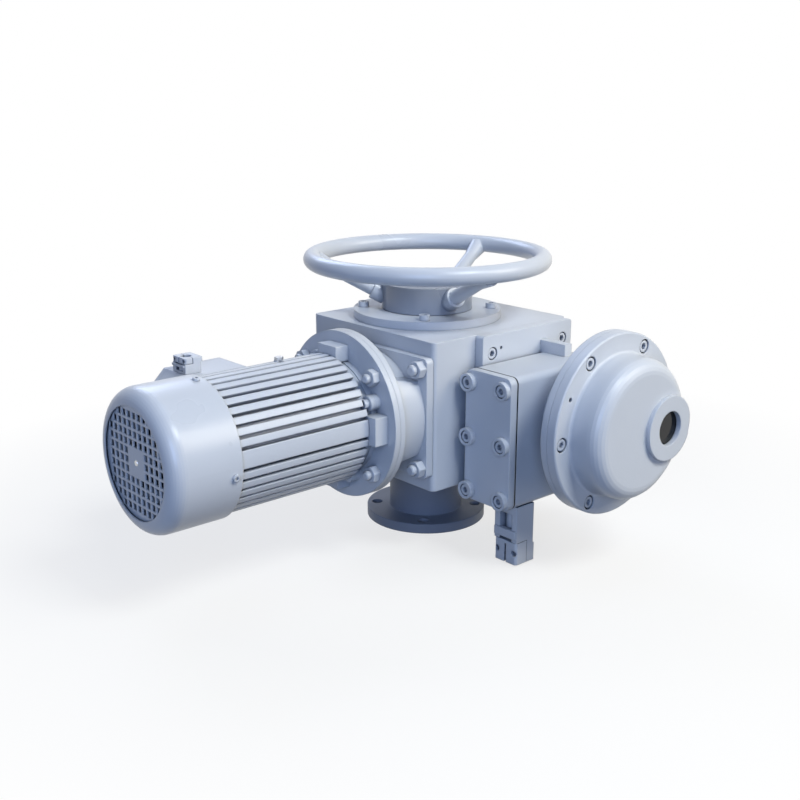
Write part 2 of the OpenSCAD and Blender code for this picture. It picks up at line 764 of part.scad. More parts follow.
// Sheet on the posts of the bowl, with the openings for wires
module mechanism_plate() {
  color(steel) control_frame() difference() {
    drum(bowl_in - 1.5, mech_x, mech_x + mech_t);
    ring(3, post_r, 30) drum(m4 + bolt_gap, mech_x - 1, mech_x + mech_t + 1);
    translate([-16, -bowl_in * 0.7, 0]) drum(9, mech_x - 1, mech_x + mech_t + 1);
    translate([0, bowl_in * 0.75, 0]) drum(7, mech_x - 1, mech_x + mech_t + 1);
  }
}

// Four microswitches in a row
module limit_switches() {
  color(dark) control_frame() for (i = [0 : 3]) translate([-58 + i * 13, -14, mech_x + mech_t]) difference() {
    block([0, 0, 0], [10, 28, 17]);
    translate([5, 14, 14]) drum(2, 0, 4);
    for (y = [5, 23]) translate([-1, y, 8]) rotate([0, 90, 0]) cylinder(r = 1.5, h = 12);
  }
}

// Counter gear unit that turns the dial
module counter_gear_unit() {
  color(bronze) control_frame() translate([win_dy, win_dz, mech_x + mech_t]) difference() {
    union() {
      block([-17, -22, 0], [17, 22, 26]);
      drum(9, 25, 32);
    }
    drum(3 + fit, 14, 33);
    for (x = [-12, 12], y = [-17, 17]) translate([x, y, 22]) drum(3, 0, 5);
  }
}

// Dome with its flange, the eccentric window boss and six sunk screws
module control_cover() {
  t = 5;
  x0 = cover_x;
  arc = [for (a = [0 : 15 : 90]) [cos(a), sin(a)]];
  c = [bowl_r - 17, dome_x - 16];
  profile = concat([[ctl_r, x0], [ctl_r, x0 + 10.5], [ctl_r - 1.5, x0 + 12], [bowl_r + 2.5, x0 + 12],
    [bowl_r + 0.7, x0 + 12.8], [bowl_r, x0 + 15]], [for (p = arc) c + 16 * p], [[0, dome_x], [0, dome_x - t]],
    [for (k = [6 : -1 : 0]) c + 11 * arc[k]], [[bowl_r - 5, x0 + 10], [bowl_r - 5, x0]]);
  color(paint) control_frame() difference() {
    union() {
      rotate_extrude() polygon(profile);
      intersection() {
        translate([win_dy, win_dz, 0]) drum(win_boss_r, dome_x - 12, dome_x + 5);
        drum(bowl_r - 5, dome_x - 13, dome_x + 6);
      }
    }
    translate([win_dy, win_dz, 0]) {
      drum(win_r, dome_x - 13, dome_x + 6);
      drum(win_r + 4.5, dome_x - 13, dome_x - 1);
      drum(30.3, dome_x - 13, dome_x - 5);
    }
    ring(6, ctl_screw_r, 3) {
      drum(m8 + bolt_gap, x0 - 1, x0 + 5);
      drum(8.2, x0 + 4.5, x0 + 13);
    }
    rotate([0, 0, 152]) translate([ctl_screw_r, 0, 0]) drum(2.5, x0 - 1, x0 + 13);
  }
}

module cover_screws() {
  color(paint) control_frame() ring(6, ctl_screw_r, 3) translate([0, 0, cover_x + 4.5])
    cap_screw(m8, 6.5, 6.5, 12);
}

module window_glass() {
  color(dark) control_frame() translate([win_dy, win_dz, 0]) drum(win_r + 4.3, dome_x - 5, dome_x - 1);
}

// Ring that holds the glass from inside
module window_retainer() {
  color(steel) control_frame() translate([win_dy, win_dz, 0]) tube(30, win_r - 1, dome_x - 9, dome_x - 5);
}

module cable_gland() {
  color(paint) gland_frame() gland_body(gland_half, gland_bore, gland_l, m4);
}

module gland_saddle() {
  color(paint) gland_frame() gland_clamp(gland_half, gland_bore, gland_l, m4);
}

module gland_screws() {
  color(paint) {
    gland_frame() gland_clamp_screws(gland_half, gland_l, m4);
    translate(box_gland_at) gland_clamp_screws(box_gland_half, box_gland_l, 1.25);
  }
}

// A round bar from a to b, with two end radii
module bar(a, b, r0, r1) {
  d = b - a;
  translate(a) rotate([0, acos(d[2] / norm(d)), atan2(d[1], d[0])]) cylinder(r1 = r0, r2 = r1, h = norm(d));
}

// Rim, three rising spokes and a hub that runs on the neck of the bearing cover
module handwheel() {
  rim_c = wheel_d / 2 - rim_r;
  z0 = box_z1 + cover_t + 0.3;
  foot = [51, 0, z0 + 15];
  head = [rim_c - 4, 0, rim_z - 3];
  along = (head - foot) / norm(head - foot);
  color(paint) {
    translate([0, 0, rim_z]) rotate_extrude() translate([rim_c, 0]) circle(r = rim_r);
    for (i = [0 : 2]) rotate([0, 0, spoke_a0 + 120 * i]) {
      bar(foot, head, 9, 7.5);
      bar(foot, foot + along * 17, 12, 12);
      bar(head - along * 30, head, 7, 11.5);
    }
    difference() {
      union() {
        drum(55, z0, neck_z1 + 10);
        drum(33.6, box_z1 + 9, neck_z1 + 1);
        ring(3, 27, 0) block([-4, -5, box_z1 + 5.5], [4, 5, box_z1 + 10]);
      }
      tube(neck_r + fit + 0.001, 33.6, z0 - 5, neck_z1 + 0.3);
      drum(22, box_z1 + 4, neck_z1 + 11);
      tube(60, neck_r + fit, z0 - 10, z0);
    }
  }
}

module handwheel_cap() {
  color(paint) {
    drum(30, neck_z1 + 10, neck_z1 + 13);
    drum(21.95, neck_z1 + 2, neck_z1 + 10.5);
  }
}

module motor_shaft() {
  color(steel) motor_frame() {
    drum(7.5, 102, 124);
    drum(10, 123, front_l + 18);
    drum(13, front_l + 17.5, rear_l + 1);
    drum(10, rear_l, rear_l + 21.5);
    drum(9, rear_l + 21, rear_l + 44);
  }
}

module motor_pinion() {
  color(steel) motor_frame() spur_gear(pinion_teeth, spur_mod, 7.5 + 0.02, 104.5, 119.5);
}

// Core and the short-circuit rings of the cage
module rotor_core() {
  color(iron) motor_frame() difference() {
    union() {
      drum(37.5, core_l, core_l + core_h);
      drum(35.5, core_l - 9, core_l + core_h + 9);
    }
    drum(13.02, core_l - 10, core_l + core_h + 10);
    tube(30, 18, core_l - 10, core_l - 1);
    tube(30, 18, core_l + core_h + 1, core_l + core_h + 10);
  }
}

// Radial fan with eight straight blades
module cooling_fan() {
  z = rear_l + 22;
  color(dark) motor_frame() difference() {
    union() {
      drum(16, z, z + 20);
      drum(cowl_in - 27, z, z + 2.5);
      for (i = [0 : 7]) rotate([0, 0, i * 45]) block([12, -1.2, z], [cowl_in - 9, 1.2, z + 24]);
    }
    drum(9.02, z - 1, z + 25);
  }
}

// Shaft with one thread: an eccentric circle turned once for each lead
module worm_shaft() {
  turns = 2 * worm_half / worm_lead;
  steps = ceil(turns * 14);
  color(steel) worm_frame() {
    translate([0, 0, -worm_half]) rotate([0, 0, -180 * turns])
      linear_extrude(2 * worm_half, twist = -360 * turns, slices = steps, $fn = 22)
        translate([thread_e, 0]) circle(r = worm_r);
    drum(9.5, -106, 85);
    drum(11, -106.5, -97);
    drum(11, 78, 85.7);
    drum(7.5, -116, 122);
  }
}

module worm_spur_gear() {
  color(steel) worm_frame() rotate([0, 0, 180 + 180 / spur_teeth])
    spur_gear(spur_teeth, spur_mod, 7.5 + 0.02, 104, 120);
}

// Hollow sleeve with collars for the wheel and the bearings, and dogs on top
module drive_sleeve() {
  color(steel) difference() {
    union() {
      drum(sleeve_r, sleeve_z0, box_z1);
      drum(36, box_z0 + 8.3, box_z0 + 20);
      drum(37, axis_z - wheel_w / 2 - 12, axis_z - wheel_w / 2);
      drum(36, box_z1 - 20, box_z1 - bearing_w - 0.3);
      ring(3, 25, 0) block([-4, -5, box_z1 - 1], [4, 5, box_z1 + 4]);
    }
    drum(20, sleeve_z0 - 1, box_z1 + 5);
  }
}

// Bronze wheel: teeth follow the slope of the thread
module worm_wheel() {
  slope = worm_lead / (2 * PI * worm_r);
  twist = wheel_w * slope / wheel_r * 180 / PI;
  half = [[tip_r - 3.6, 2.6], [tip_r - 3.1, 2.2], [wheel_r, 1.3], [tip_r, 0.45]];
  tooth = concat([for (p = half) [p[0], -p[1]]], [for (k = [3 : -1 : 0]) half[k]]);
  rim = [for (i = [0 : wheel_teeth - 1], p = tooth) [p[0], i * 360 / wheel_teeth + asin(p[1] / p[0])]];
  points = [for (p = rim) p[0] * [cos(p[1]), sin(p[1])]];
  z0 = axis_z - wheel_w / 2;
  color(bronze) difference() {
    union() {
      translate([0, 0, z0]) rotate([0, 0, -twist / 2]) linear_extrude(wheel_w, twist = -twist, slices = 2)
        polygon(points);
      drum(40, z0, z0 + wheel_w + 3);
    }
    drum(sleeve_r + 0.02, z0 - 1, z0 + wheel_w + 4);
  }
}

module stem_nut() {
  color(bronze) difference() {
    union() {
      drum(19.97, sleeve_z0, sleeve_z0 + 62);
      drum(28, sleeve_z0 - 8, sleeve_z0);
    }
    drum(stem_r, sleeve_z0 - 9, sleeve_z0 + 63);
  }
}

module indicator_dial() {
  x = mech_x + mech_t;
  color("white") control_frame() translate([win_dy, win_dz, 0]) {
    drum(3, x + 16, x + 35.5);
    drum(16, x + 35, x + 37.5);
    block([-1.5, 0, x + 37], [1.5, 14, x + 38.5]);
  }
}

gearbox_housing();
base_flange();
base_screws();
top_bearing_cover();
top_cover_screws();
worm_end_cap();
worm_end_screws();
sleeve_bearings();
worm_bearings();
motor_adapter();
adapter_studs();
adapter_nuts();
motor_front_shield();
flange_studs();
flange_nuts();
shield_screws();
stator_frame();
stator_core();
stator_winding();
motor_bearings();
motor_rear_shield();
fan_cowl();
fan_grille();
cowl_screws();
earth_screw();
motor_terminal_box();
motor_box_lid();
motor_box_screws();
motor_gland();
motor_gland_saddle();
control_housing();
control_screws();
terminal_gasket();
terminal_cover();
terminal_screws();
terminal_strip();
mechanism_plate();
limit_switches();
counter_gear_unit();
control_cover();
cover_screws();
window_glass();
window_retainer();
cable_gland();
gland_saddle();
gland_screws();
handwheel();
handwheel_cap();
motor_shaft();
motor_pinion();
rotor_core();
cooling_fan();
worm_shaft();
worm_spur_gear();
drive_sleeve();
worm_wheel();
stem_nut();
indicator_dial();
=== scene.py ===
# %% [markdown]
# # Electric valve actuator
# This machine stands on a valve and turns its stem. A flange motor lies on the left, a gearbox with a handwheel is in
# the middle, and a round control unit with a small window is on the right. The solids come packed at their real
# size, so this lesson gives them their finish, adds the small parts that a solid model leaves out, and lights them.

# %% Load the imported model
import math

import bmesh
import bpy
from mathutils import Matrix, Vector


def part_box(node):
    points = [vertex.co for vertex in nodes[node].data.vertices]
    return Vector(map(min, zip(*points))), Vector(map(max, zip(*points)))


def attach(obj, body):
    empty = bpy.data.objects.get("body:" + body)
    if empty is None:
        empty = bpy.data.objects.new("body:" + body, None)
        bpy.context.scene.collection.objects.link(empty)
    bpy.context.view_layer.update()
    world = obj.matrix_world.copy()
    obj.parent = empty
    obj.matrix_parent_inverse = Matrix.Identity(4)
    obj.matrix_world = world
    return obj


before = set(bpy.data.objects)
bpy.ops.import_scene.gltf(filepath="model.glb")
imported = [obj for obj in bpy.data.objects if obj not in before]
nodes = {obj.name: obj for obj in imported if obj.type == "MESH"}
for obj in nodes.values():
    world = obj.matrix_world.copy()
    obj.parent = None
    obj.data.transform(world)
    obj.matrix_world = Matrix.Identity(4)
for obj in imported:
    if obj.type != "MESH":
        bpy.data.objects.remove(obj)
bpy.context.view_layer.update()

# %% [markdown]
# ## Camera
# The photo looks down at the machine from beyond the corner between the motor and the control unit. Parallel edges
# of the motor and of the gearbox meet at two vanishing points, and those give the angles and the focal length.
# A camera could be turned by hand until it fits, but the angles from the vanishing points hold for every edge.

# %% Camera
AZIMUTH = math.radians(48.65)
ELEVATION = math.radians(16.1)
FOCAL_MM = 50.25
SENSOR_MM = 36.0
CAMERA_PLACE = Vector((0.98964, -0.91519, 0.53815))

camera_data = bpy.data.cameras.new("camera")
camera_data.lens = FOCAL_MM
camera_data.sensor_width = SENSOR_MM
camera = bpy.data.objects.new("camera", camera_data)
bpy.context.scene.collection.objects.link(camera)
camera.location = CAMERA_PLACE
camera.rotation_euler = (math.pi / 2 - ELEVATION, 0.0, AZIMUTH)
bpy.context.scene.camera = camera
print("camera at", [round(v, 3) for v in camera.location])

# %% [markdown]
# ## Helpers for materials
# Every finish here is made of shader nodes. Two helpers do most of the work: one turns a colour that is written as on
# a paint card into the linear light that the renderer counts in, and one adds a node and joins it to the ones before
# it. A node could be added in four lines each time, but then the plan of a finish is hard to see between them.

# %% Colour and node helpers
def linear(hex_colour):
    """The linear colour of an sRGB hex colour such as "A8B4C8"."""
    parts = [int(hex_colour[i : i + 2], 16) / 255 for i in (0, 2, 4)]
    return tuple(c / 12.92 if c <= 0.04045 else ((c + 0.055) / 1.055) ** 2.4 for c in parts) + (1.0,)


def add_node(tree, kind, values=(), links=(), **settings):
    """Adds one shader node, sets its values by socket, and links (socket, source socket) pairs into it."""
    node = tree.nodes.new("ShaderNode" + kind)
    for name, value in settings.items():
        setattr(node, name, value)
    for socket, value in dict(values).items():
        node.inputs[socket].default_value = value
    for socket, source in links:
        tree.links.new(source, node.inputs[socket])
    return node


def new_material(name):
    """An empty material with its output node, as (material, tree, output)."""
    material = bpy.data.materials.new(name)
    material.use_nodes = True
    tree = material.node_tree
    tree.nodes.clear()
    return material, tree, add_node(tree, "OutputMaterial")


print("A8B4C8 is", [round(c, 3) for c in linear("A8B4C8")])

# %% [markdown]
# ## Sizes of patterns
# A pattern looks right only at its real scale, so each one is written in millimetres. The noise node counts in waves
# for each metre, and one line turns the one into the other.

# %% Sizes of patterns
MM = 0.001


def per_metre(size_mm):
    """The noise scale at which one blotch is about this many millimetres wide."""
    return 1.0 / (size_mm * MM)


print("a 2 mm grain has scale", per_metre(2.0))

# %% [markdown]
# ## Machine paint
# The housings are sand-cast iron or aluminium under one coat of blue-grey alkyd machine paint, sprayed over all
# the screws too. The sand leaves a fine pebbled skin, the paint rounds every edge, and the corners get painted shade.
# A painted image could show this, but noise that is sized in millimetres looks the same from every side and needs no
# unwrapping. Paint on sheet metal has no pebbles, only the soft waves of spraying.

# %% Values of the paint
PAINT = "C4C7CC"
PAINT_LIGHT = "CDCFD3"
# painted shade in corners, on the wheel's hub and in the foot's darker blotches
PAINTED_SHADE_COLOUR = "6C7484"
# painted shade on the foot
FOOT_SHADE_COLOUR = "868C98"
# near-black painted shade in slots and screw sockets
SLOT_SHADE_COLOUR = "23262E"
PAINT_IOR = 1.5
PEBBLE_MM = 2.2  # real sand grains are about 0.5 mm, drawn coarser so that they show
PEBBLE_HEIGHT_MM = 0.12
SPRAY_WAVE_MM = 14.0
SPRAY_HEIGHT_MM = 0.05
BLOTCH_MM = 70.0
EDGE_MM = 2.0
PROBES = 6
print("blotches:", BLOTCH_MM, "mm, spray waves:", SPRAY_WAVE_MM, "mm, rounded edges:", EDGE_MM, "mm")

# %% [markdown]
# ## Painted shade in corners, slots and under the wheel
# Darker colour is painted into the corners between castings, and near-black colour into the narrow slots and screw
# sockets, as painted shade. Both go where the open air is shut off, which is just what ambient occlusion measures:
# a long reach finds the corners, a short one finds the slots. The hub of the wheel is painted darker too, as a painted
# shadow of the wheel. That place is found by its distance from the wheel's axis, so it turns with the wheel and still
# looks the same.

# %% Layers of painted shade
# darker painted shade in the corners between castings, within a long reach
CORNER_SHADE = {"reach_mm": 24.0, "shut": 0.05, "open": 0.6, "most": 0.85, "colour": PAINTED_SHADE_COLOUR}
# near-black painted shade in slots and screw sockets, within a short reach
SLOT_SHADE = {"reach_mm": 6.0, "shut": 0.12, "open": 0.5, "most": 0.95, "colour": SLOT_SHADE_COLOUR}
# painted shadow of the wheel on its hub, fading out at HUB_MM from the axis
HUB_SHADOW_MOST = 0.85
HUB_SHADOW_FADE_MM = 8.0
HUB_MM = 62.0


def painted_shade(tree, under, layer):
    """The colour under a layer of painted shade, where the air is shut off within the layer's reach."""
    shelter = add_node(tree, "AmbientOcclusion", {"Distance": layer["reach_mm"] * MM}, samples=PROBES)
    share = add_node(tree, "MapRange", {"From Min": layer["shut"], "From Max": layer["open"],
                                        "To Min": layer["most"], "To Max": 0.0},
                     [("Value", shelter.outputs["AO"])])
    return add_node(tree, "MixRGB", {"Color2": linear(layer["colour"])},
                    [("Fac", share.outputs["Result"]), ("Color1", under.outputs["Color"])])


def hub_shadow(tree, under, place, within_mm):
    """The colour under a painted shadow of the wheel that ends this many millimetres from the wheel's axis."""
    flat = add_node(tree, "VectorMath", {1: (1.0, 1.0, 0.0)}, [(0, place)], operation="MULTIPLY")
    reach = add_node(tree, "VectorMath", links=[(0, flat.outputs["Vector"])], operation="LENGTH")
    share = add_node(tree, "MapRange", {"From Min": (within_mm - HUB_SHADOW_FADE_MM) * MM, "From Max": within_mm * MM,
                                        "To Min": HUB_SHADOW_MOST, "To Max": 0.0},
                     [("Value", reach.outputs["Value"])])
    return add_node(tree, "MixRGB", {"Color2": linear(PAINTED_SHADE_COLOUR)},
                    [("Fac", share.outputs["Result"]), ("Color1", under.outputs["Color"])])


# the dust, dirt and grease printed here are painted shade in corners, in slots and under the wheel
print("dust reaches", CORNER_SHADE["reach_mm"], "mm, dirt", SLOT_SHADE["reach_mm"], "mm, grease", HUB_MM, "mm from the axis")

# %% [markdown]
# ## The paint itself
# Alkyd paint dries to a satin skin with an IOR near 1.5. On the castings it is a little rougher than on sheet metal,
# which gives the castings a broad soft highlight and the cowl a sharper one. The foot near the valve has darker
# colours of its own, which are painted shade.

# %% Machine paint
CAST_ROUGHNESS = 0.35
SHEET_ROUGHNESS = 0.28
FOOT_ROUGHNESS = 0.5


def machine_paint(name, pebbles_mm, roughness, colours=(PAINT, PAINT_LIGHT), hub_shadow_within_mm=0.0):
    """Alkyd machine paint over a cast skin of this height in millimetres, or over sheet metal at 0."""
    material, tree, output = new_material(name)
    place = add_node(tree, "TexCoord").outputs["Object"]
    blotch = add_node(tree, "TexNoise", {"Scale": per_metre(BLOTCH_MM), "Detail": 3.0}, [("Vector", place)])
    wave = add_node(tree, "TexNoise", {"Scale": per_metre(SPRAY_WAVE_MM), "Detail": 2.0}, [("Vector", place)])
    colour = add_node(tree, "MixRGB", {"Color1": linear(colours[0]), "Color2": linear(colours[1])},
                      [("Fac", blotch.outputs["Fac"])])
    # painted shadow of the wheel on its hub
    if hub_shadow_within_mm > 0:
        colour = hub_shadow(tree, colour, place, hub_shadow_within_mm)
    # painted shade in the corners, then near-black painted shade in slots and sockets
    colour = painted_shade(tree, painted_shade(tree, colour, CORNER_SHADE), SLOT_SHADE)
    round_edge = add_node(tree, "Bevel", {"Radius": EDGE_MM * MM}, samples=PROBES)
    waves = add_node(tree, "Bump", {"Strength": 1.0, "Distance": SPRAY_HEIGHT_MM * MM},
                     [("Height", wave.outputs["Fac"]), ("Normal", round_edge.outputs["Normal"])])
    normal = waves.outputs["Normal"]
    if pebbles_mm > 0:
        pebble = add_node(tree, "TexNoise", {"Scale": per_metre(PEBBLE_MM), "Detail": 4.0, "Roughness": 0.6},
                          [("Vector", place)])
        skin = add_node(tree, "Bump", {"Strength": 1.0, "Distance": pebbles_mm * MM},
                        [("Height", pebble.outputs["Fac"]), ("Normal", normal)])
        normal = skin.outputs["Normal"]
    gloss = add_node(tree, "MapRange", {"To Min": roughness - 0.05, "To Max": roughness + 0.08},
                     [("Value", blotch.outputs["Fac"])])
    shader = add_node(tree, "BsdfPrincipled", {"IOR": PAINT_IOR},
                      [("Base Color", colour.outputs["Color"]), ("Roughness", gloss.outputs["Result"]),
                       ("Normal", normal)])
    tree.links.new(shader.outputs["BSDF"], output.inputs["Surface"])
    return material


cast_paint = machine_paint("alkyd_paint_on_cast_iron", PEBBLE_HEIGHT_MM, CAST_ROUGHNESS)
sheet_paint = machine_paint("alkyd_paint_on_sheet_steel", 0.0, SHEET_ROUGHNESS)
# the wheel's paint has a painted shadow round its hub
wheel_paint = machine_paint("alkyd_paint_on_the_wheel", 0.0, SHEET_ROUGHNESS, hub_shadow_within_mm=HUB_MM)
# the foot's darker colours are painted shade
foot_shade_paint = machine_paint("foot_shade_paint_near_the_valve", PEBBLE_HEIGHT_MM, FOOT_ROUGHNESS,
                             (FOOT_SHADE_COLOUR, PAINTED_SHADE_COLOUR))
PAINTS = (cast_paint, sheet_paint, wheel_paint, foot_shade_paint)
print("paints:", [paint.name for paint in PAINTS])

# %% [markdown]
# ## Bare metals
# Shafts, gears and bearings are ground or cut steel, the wheel and the stem nut are bronze, and the winding is
# enamelled copper. Bare metal is shown by its colour as seen straight on, a metallic value of 1 and a roughness that
# follows how it was cut. Fine tool marks could be modelled, but at this size a fine noise does the same. The real
# marks are a few tenths of a millimetre wide and are drawn coarser so that they show.

# %% Bare metals
MARK_HEIGHT_MM = 0.02
CUT_EDGE_MM = 0.4


def bare_metal(name, hex_colour, roughness, mark_mm):
    """A cut or ground metal with tool marks that are mark_mm wide."""
    material, tree, output = new_material(name)
    place = add_node(tree, "TexCoord").outputs["Object"]
    marks = add_node(tree, "TexNoise", {"Scale": per_metre(mark_mm), "Detail": 5.0}, [("Vector", place)])
    shine = add_node(tree, "MapRange", {"To Min": roughness - 0.08, "To Max": roughness + 0.12},
                     [("Value", marks.outputs["Fac"])])
    tone = add_node(tree, "MapRange", {"To Min": 0.85, "To Max": 1.0}, [("Value", marks.outputs["Fac"])])
    colour = add_node(tree, "MixRGB", {"Fac": 1.0, "Color1": linear(hex_colour)},
                      [("Color2", tone.outputs["Result"])], blend_type="MULTIPLY")
    round_edge = add_node(tree, "Bevel", {"Radius": CUT_EDGE_MM * MM}, samples=4)
    bump = add_node(tree, "Bump", {"Strength": 0.6, "Distance": MARK_HEIGHT_MM * MM},
                    [("Height", marks.outputs["Fac"]), ("Normal", round_edge.outputs["Normal"])])
    shader = add_node(tree, "BsdfPrincipled", {"Metallic": 1.0},
                      [("Base Color", colour.outputs["Color"]), ("Roughness", shine.outputs["Result"]),
                       ("Normal", bump.outputs["Normal"])])
    tree.links.new(shader.outputs["BSDF"], output.inputs["Surface"])
    return material


zinc_steel = bare_metal("zinc_plated_steel", "C4C6C9", roughness=0.34, mark_mm=3.0)
ground_steel = bare_metal("ground_bearing_steel", "BFC0C2", roughness=0.22, mark_mm=1.5)
core_sheet = bare_metal("stacked_core_sheet", "6E7074", roughness=0.5, mark_mm=1.0)
cut_bronze = bare_metal("cut_gear_bronze", "C79A58", roughness=0.32, mark_mm=2.0)
copper_wire = bare_metal("enamelled_copper_wire", "B5622F", roughness=0.3, mark_mm=1.2)
print("metals:", zinc_steel.name, ground_steel.name, core_sheet.name, cut_bronze.name, copper_wire.name)

# %% [markdown]
# ## Plastics and rubber
# The switches, the terminal strip and the fan are moulded black polyamide, the gasket is nitrile rubber, and the dial
# is a white plastic. A mould leaves a fine even grain, and rubber is duller and coarser than the plastics. The real
# grain is about a tenth of a millimetre, drawn coarser so that it shows.

# %% Plastics and rubber
PLASTIC_IOR = 1.5


def moulded(name, hex_colour, roughness, grain_mm, grain_height_mm):
    """A moulded material with a fine grain."""
    material, tree, output = new_material(name)
    place = add_node(tree, "TexCoord").outputs["Object"]
    grain = add_node(tree, "TexNoise", {"Scale": per_metre(grain_mm), "Detail": 3.0}, [("Vector", place)])
    tone = add_node(tree, "MapRange", {"To Min": 0.8, "To Max": 1.15}, [("Value", grain.outputs["Fac"])])
    colour = add_node(tree, "MixRGB", {"Fac": 1.0, "Color1": linear(hex_colour)},
                      [("Color2", tone.outputs["Result"])], blend_type="MULTIPLY")
    bump = add_node(tree, "Bump", {"Strength": 0.5, "Distance": grain_height_mm * MM},
                    [("Height", grain.outputs["Fac"])])
    shader = add_node(tree, "BsdfPrincipled", {"IOR": PLASTIC_IOR, "Roughness": roughness},
                      [("Base Color", colour.outputs["Color"]), ("Normal", bump.outputs["Normal"])])
    tree.links.new(shader.outputs["BSDF"], output.inputs["Surface"])
    return material


black_polyamide = moulded("moulded_black_polyamide", "1B1C1F", roughness=0.5, grain_mm=1.2, grain_height_mm=0.05)
nitrile_rubber = moulded("nitrile_rubber_gasket", "141416", roughness=0.7, grain_mm=0.8, grain_height_mm=0.08)
dial_plastic = moulded("white_dial_plastic", "D8D8D2", roughness=0.4, grain_mm=2.0, grain_height_mm=0.01)
print("moulded:", black_polyamide.name, nitrile_rubber.name, dial_plastic.name)

# %% [markdown]
# ## Window
# The window is a thick pane over a dark inside. It could be left as plain glass, but the real one is sealed and shows
# the inside as nearly black, so it is tinted. Its IOR is a little below that of window glass, because the pane in the
# photo hardly mirrors the white room. Smudges make the gloss uneven.

# %% Window pane
PANE_TINT = "0C0F13"
PANE_IOR = 1.4
SMUDGE_MM = 9.0


def window_pane(name):
    """A dark tinted pane with smudges."""
    material, tree, output = new_material(name)
    place = add_node(tree, "TexCoord").outputs["Object"]
    smudge = add_node(tree, "TexNoise", {"Scale": per_metre(SMUDGE_MM), "Detail": 3.0}, [("Vector", place)])
    shine = add_node(tree, "MapRange", {"To Min": 0.03, "To Max": 0.12}, [("Value", smudge.outputs["Fac"])])
    shader = add_node(tree, "BsdfPrincipled",
                      {"IOR": PANE_IOR, "Transmission Weight": 1.0, "Base Color": linear(PANE_TINT)},
                      [("Roughness", shine.outputs["Result"])])
    tree.links.new(shader.outputs["BSDF"], output.inputs["Surface"])
    return material


clear_pane = window_pane("tinted_window_pane")
print("pane:", clear_pane.name)

# %% [markdown]
# ## Which piece has which finish
# Paint covers everything that was on the machine when it was sprayed. Pieces of thin sheet or turned bar are
# smoother under their paint than the castings are. What is inside stays bare.

# %% Give each node its finish
SMOOTH_PAINTED = ["fan_cowl", "fan_grille", "handwheel_cap", "motor_box_lid", "adapter_nuts", "flange_nuts",
                  "shield_screws", "top_cover_screws", "worm_end_screws", "control_screws", "terminal_screws",
                  "adapter_studs", "flange_studs", "cowl_screws", "motor_box_screws", "gland_screws",
                  "cover_screws"]
NOT_CAST = {
    sheet_paint: SMOOTH_PAINTED,
    wheel_paint: ["handwheel"],
    # the foot's paint carries painted shade
    foot_shade_paint: ["base_flange"],
    zinc_steel: ["base_screws", "earth_screw", "mechanism_plate", "window_retainer"],
    ground_steel: ["sleeve_bearings", "worm_bearings", "motor_bearings", "motor_shaft", "motor_pinion",
                   "worm_shaft", "worm_spur_gear", "drive_sleeve"],
    core_sheet: ["stator_core", "rotor_core"],
    copper_wire: ["stator_winding"],
    cut_bronze: ["worm_wheel", "stem_nut", "counter_gear_unit"],
    black_polyamide: ["terminal_strip", "limit_switches", "cooling_fan"],
    nitrile_rubber: ["terminal_gasket"],
    dial_plastic: ["indicator_dial"],
    clear_pane: ["window_glass"],
}

finish = {name: cast_paint for name in nodes}
for material, names in NOT_CAST.items():
    finish.update({name: material for name in names})
for name, node in nodes.items():
    node.data.materials.clear()
    node.data.materials.append(finish[name])
print("painted:", sum(material in PAINTS for material in finish.values()), "of", len(finish))

# %% [markdown]
# ## Where the studs are
# Eight studs hold the motor's flange and the pad on the gearbox. The studs of one place are one node with four
# separate solids. Their places could be typed in, but they are read from the mesh instead: vertices that edges join
# belong to one solid, and the box round them gives its axis, its radius and its ends.

# %% Separate solids of one node
WELD_MM = 0.01


def islands(name):
    """The lowest and highest corner of each separate solid in a CAD node."""
    bm = bmesh.new()
    bm.from_mesh(nodes[name].data)
    bmesh.ops.remove_doubles(bm, verts=bm.verts, dist=WELD_MM * MM)
    found = []
    left = set(bm.verts)
    while left:
        reached = [left.pop()]
        island = []
        while reached:
            vert = reached.pop()
            island.append(vert.co.copy())
            for edge in vert.link_edges:
                other = edge.other_vert(vert)
                if other in left:
                    left.remove(other)
                    reached.append(other)
        found.append(([min(co[i] for co in island) for i in range(3)],
                      [max(co[i] for co in island) for i in range(3)]))
    bm.free()
    return sorted(found)


flange_ends = islands("flange_studs")
pad_ends = islands("adapter_studs")
print("studs:", len(flange_ends), "on the flange,", len(pad_ends), "on the pad")

# %% [markdown]
# ## Adding a piece
# Each new piece is a list of vertices and faces that becomes a smooth mesh with one material. It rides on a body, so
# it moves with the machine.

# %% Add a smooth piece
def add_piece(name, verts, faces, material):
    """A smooth mesh that rides on the fixed machine."""
    mesh = bpy.data.meshes.new(name)
    mesh.from_pydata(verts, [], faces)
    for polygon in mesh.polygons:
        polygon.use_smooth = True
    mesh.materials.append(material)
    piece = bpy.data.objects.new(name, mesh)
    bpy.context.scene.collection.objects.link(piece)
    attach(piece, "actuator_body")
    print(piece.name, "faces:", len(mesh.polygons))
    return piece


# %% [markdown]
# ## Threads on the stud ends
# Each nut of the motor flange and of the pad leaves a short end of its stud in view, and that end is rolled with a
# metric thread. The solid studs are plain, which is what a solid model needs. A screw modifier could turn a profile
# into a thread, but a short loop that walks along the helix shows how pitch, depth and turns belong together.

# %% Thread ridges
PITCH_MM = {"flange_studs": 1.5, "adapter_studs": 1.75}
STEPS_PER_TURN = 24
RUN_OUT_STEPS = 6
FIRST_RIDGE = 0.8  # this and the next three are in pitches
HALF_WIDTH = 0.42
DEPTH = 0.3
SUNK = 0.05


